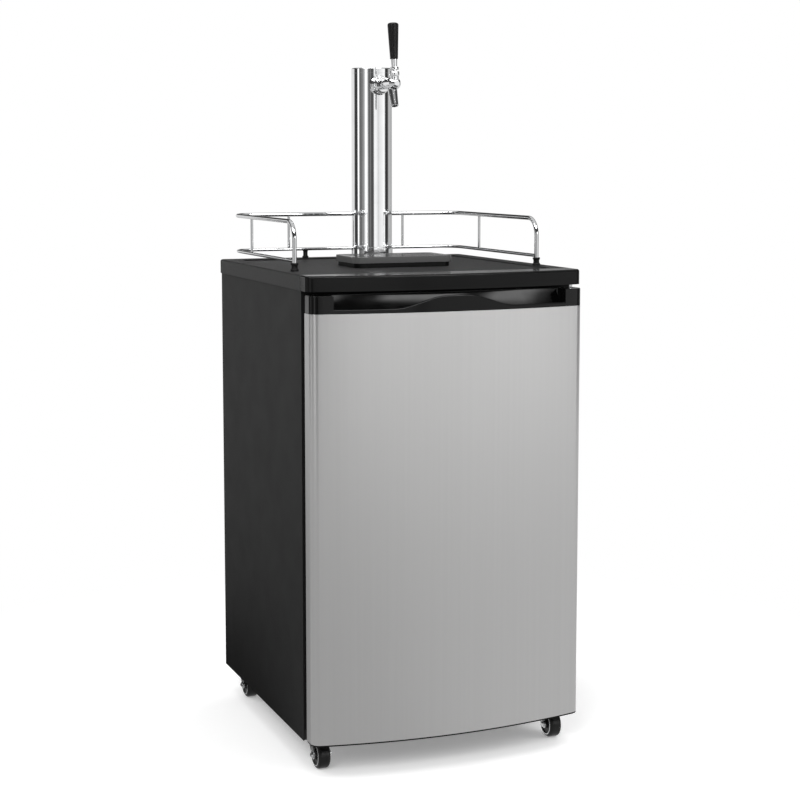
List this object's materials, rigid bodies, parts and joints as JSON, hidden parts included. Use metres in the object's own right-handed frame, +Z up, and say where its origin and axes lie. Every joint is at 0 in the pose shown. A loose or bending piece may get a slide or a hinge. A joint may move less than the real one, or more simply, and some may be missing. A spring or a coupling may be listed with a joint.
{
  "type": "keg drink dispenser",
  "caption": "Insulated keg cabinet on casters with a hinged bowed steel door, black worktop with guard rail, polished single-tap tower and lift-out drip tray.",
  "frame": {"origin": "on the floor under the middle of the object", "axes": "+X to the right seen from the front, +Y to the rear, +Z up"},
  "size_m": [0.511, 0.577, 1.2976],
  "materials": {
    "black_paint": "satin black paint with a fine grain",
    "galvanised": "plain galvanised sheet",
    "foam": "rigid insulating foam",
    "white_plastic": "smooth white moulding",
    "black_rubber": "soft matt black rubber",
    "black_plastic": "fine grained black moulding",
    "copper": "bare drawn copper",
    "aluminium": "plain rolled aluminium",
    "grey_plastic": "dark grey moulding",
    "plate_steel": "brushed plate",
    "worktop_plastic": "leather grained black moulding",
    "rail_chrome": "bright chrome plate",
    "tower_steel": "polished stainless steel",
    "tap_chrome": "bright chrome plate",
    "handle_plastic": "black moulded handle",
    "door_steel": "stainless sheet brushed upright",
    "gloss_black": "high gloss black moulding",
    "zinc": "bright zinc plate",
    "wheel_plastic": "black nylon"
  },
  "bodies": {
    "cabinet": {"cabinet_shell": "black_paint", "rear_panel": "black_paint", "base_pan": "black_paint", "compressor": "black_paint", "bay_panel": "galvanised", "cabinet_foam": "foam", "inner_liner": "white_plastic", "thermostat_housing": "white_plastic", "compressor_mounts": "black_rubber", "rail_feet": "black_rubber", "gas_bush": "black_rubber", "relay_cover": "black_plastic", "drain_pan": "black_plastic", "cord_gland": "black_plastic", "refrigerant_lines": "copper", "evaporator_plate": "aluminium", "keg_floor_plate": "plate_steel", "worktop": "worktop_plastic", "worktop_fascia": "worktop_plastic", "guard_rail_upper": "rail_chrome", "guard_rail_lower": "rail_chrome", "rail_struts": "rail_chrome", "tower_column": "tower_steel", "tower_cap": "tower_steel", "tower_flange": "tower_steel", "shank": "tap_chrome", "shank_collar": "tap_chrome", "shank_nut": "tap_chrome", "tailpiece": "tap_chrome", "coupling_nut": "tap_chrome", "faucet_body": "tap_chrome", "faucet_cap": "tap_chrome", "lever_bonnet": "tap_chrome", "tower_screws": "tap_chrome", "top_hinge": "zinc", "bottom_hinge": "zinc", "caster_plates": "zinc"},
    "door": {"door_skin": "door_steel", "door_top_trim": "gloss_black", "door_bottom_trim": "gloss_black", "door_liner": "white_plastic", "door_foam": "foam", "door_gasket": "black_rubber", "door_bushings": "grey_plastic"},
    "lever": {"faucet_lever": "tap_chrome", "lever_ferrule": "tap_chrome", "tap_handle": "handle_plastic"},
    "plunger": {"faucet_shaft": "tap_chrome"},
    "knob": {"thermostat_knob": "grey_plastic"},
    "tray": {"drip_tray": "black_plastic", "tray_floor": "black_plastic"},
    "grille": {"drip_grille": "black_plastic"},
    "caster_fl": {"caster_fork_fl": "zinc"},
    "wheel_fl": {"caster_wheel_fl": "wheel_plastic"},
    "caster_fr": {"caster_fork_fr": "zinc"},
    "wheel_fr": {"caster_wheel_fr": "wheel_plastic"},
    "caster_rl": {"caster_fork_rl": "zinc"},
    "wheel_rl": {"caster_wheel_rl": "wheel_plastic"},
    "caster_rr": {"caster_fork_rr": "zinc"},
    "wheel_rr": {"caster_wheel_rr": "wheel_plastic"}
  },
  "joints": [
    {"name": "door_swing", "type": "hinge", "parent": "cabinet", "child": "door", "pos_m": [0.238, -0.238, 0.44], "axis": [0, 0, 1], "range_deg": [0, 115]},
    {"name": "tap_lever", "type": "hinge", "parent": "cabinet", "child": "lever", "pos_m": [0, 0.0042, 1.205], "axis": [1, 0, 0], "range_deg": [0, 30]},
    {"name": "plunger_slide", "type": "slide", "parent": "cabinet", "child": "plunger", "axis": [0, 1, 0], "range_m": [0, 0.00891]},
    {"name": "thermostat_turn", "type": "hinge", "parent": "cabinet", "child": "knob", "pos_m": [0.187, -0.0185, 0.6935], "axis": [-1, 0, 0], "range_deg": [0, 270]},
    {"name": "tray_lift", "type": "slide", "parent": "cabinet", "child": "tray", "axis": [0, 0, 1], "range_m": [0, 0.1]},
    {"name": "grille_lift", "type": "slide", "parent": "tray", "child": "grille", "axis": [0, 0, 1], "range_m": [0, 0.05]},
    {"name": "swivel_fl", "type": "hinge", "parent": "cabinet", "child": "caster_fl", "pos_m": [-0.222, -0.188, 0.054], "axis": [0, 0, 1], "continuous": true},
    {"name": "roll_fl", "type": "hinge", "parent": "caster_fl", "child": "wheel_fl", "pos_m": [-0.222, -0.21, 0.0245], "axis": [1, 0, 0], "continuous": true},
    {"name": "swivel_fr", "type": "hinge", "parent": "cabinet", "child": "caster_fr", "pos_m": [0.222, -0.188, 0.054], "axis": [0, 0, 1], "continuous": true},
    {"name": "roll_fr", "type": "hinge", "parent": "caster_fr", "child": "wheel_fr", "pos_m": [0.222, -0.21, 0.0245], "axis": [1, 0, 0], "continuous": true},
    {"name": "swivel_rl", "type": "hinge", "parent": "cabinet", "child": "caster_rl", "pos_m": [-0.222, 0.2385, 0.054], "axis": [0, 0, 1], "continuous": true},
    {"name": "roll_rl", "type": "hinge", "parent": "caster_rl", "child": "wheel_rl", "pos_m": [-0.222, 0.2165, 0.0245], "axis": [1, 0, 0], "continuous": true},
    {"name": "swivel_rr", "type": "hinge", "parent": "cabinet", "child": "caster_rr", "pos_m": [0.222, 0.2385, 0.054], "axis": [0, 0, 1], "continuous": true},
    {"name": "roll_rr", "type": "hinge", "parent": "caster_rr", "child": "wheel_rr", "pos_m": [0.222, 0.2165, 0.0245], "axis": [1, 0, 0], "continuous": true}
  ],
  "couplings": [
    {"joint": "plunger_slide", "follows": "tap_lever", "m_per_rad": 0.017}
  ]
}
